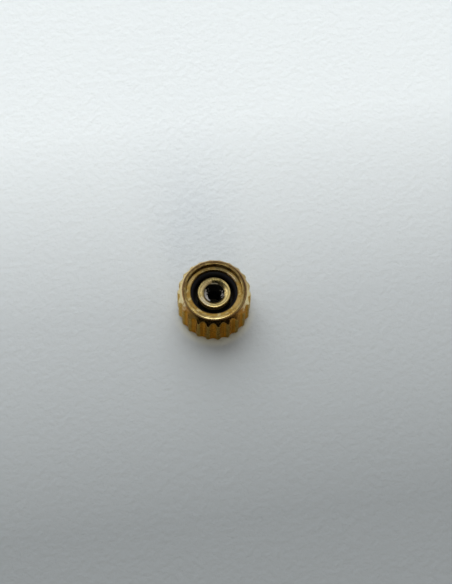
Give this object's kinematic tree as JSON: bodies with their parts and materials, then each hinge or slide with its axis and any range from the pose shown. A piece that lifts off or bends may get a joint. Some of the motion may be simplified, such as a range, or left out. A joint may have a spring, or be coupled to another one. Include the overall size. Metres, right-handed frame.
{
  "type": "watch crown",
  "caption": "Fluted gilt watch crown with a tapped stem post and a rubber gasket held by a pressed-in washer, seen with its case side up.",
  "frame": {"origin": "centre of the flat outer face that the crown stands on", "axes": "+Z along the crown's axis, out of the stem hole towards the watch case; a flute is centred on +X"},
  "size_m": [0.004, 0.004, 0.0025],
  "materials": {
    "gilt_brass": "gold plated, turned and lightly worn",
    "gilt_steel": "gold plated, bare grey metal in the thread",
    "black_rubber": "moulded, slightly greased"
  },
  "bodies": {
    "root": {"knurled_head": "gilt_brass", "stem_post": "gilt_steel", "gasket_ring": "black_rubber", "retaining_washer": "gilt_steel"}
  },
  "joints": []
}
